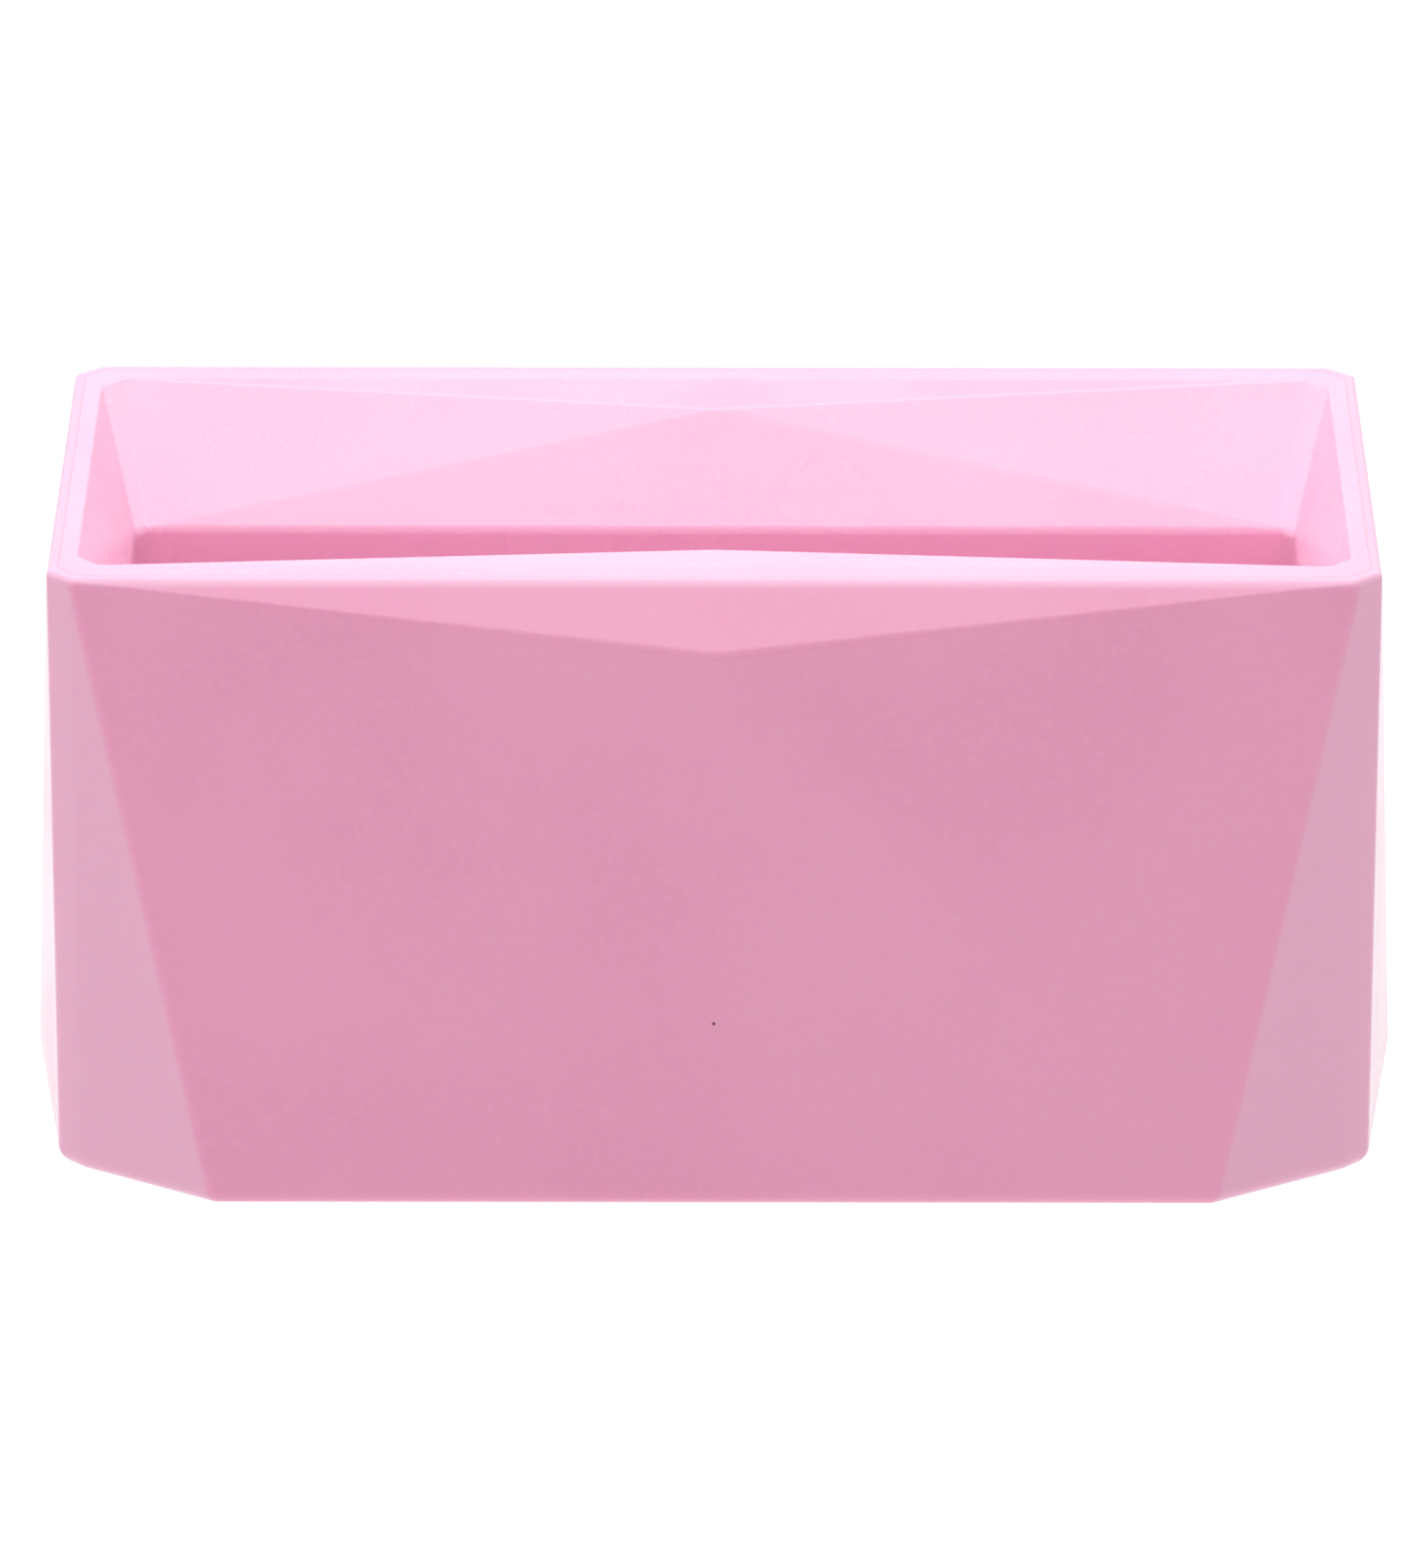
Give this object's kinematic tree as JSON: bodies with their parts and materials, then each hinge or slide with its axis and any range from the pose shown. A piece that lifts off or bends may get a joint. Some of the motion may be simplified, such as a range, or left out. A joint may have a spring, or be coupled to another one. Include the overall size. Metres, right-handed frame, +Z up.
{
  "type": "soap loaf mould",
  "caption": "Long faceted box mould for a soap loaf: an outer case closed by a base plate, and a flanged liner with a deep pocket that lifts out.",
  "frame": {"origin": "on the table, under the middle of the mould", "axes": "+X along the long side, +Y towards the back, +Z up"},
  "size_m": [0.2524, 0.1414, 0.1166],
  "materials": {
    "case_gloss": "smooth glossy moulded pink",
    "liner_gloss": "smooth glossy pink silicone",
    "plate_satin": "satin pink"
  },
  "bodies": {
    "case": {"outer_case": "case_gloss", "base_plate": "plate_satin"},
    "liner": {"loaf_liner": "liner_gloss"}
  },
  "joints": [
    {"name": "liner_lift", "type": "slide", "parent": "case", "child": "liner", "axis": [0, 0, 1], "range_m": [0, 0.125]}
  ]
}
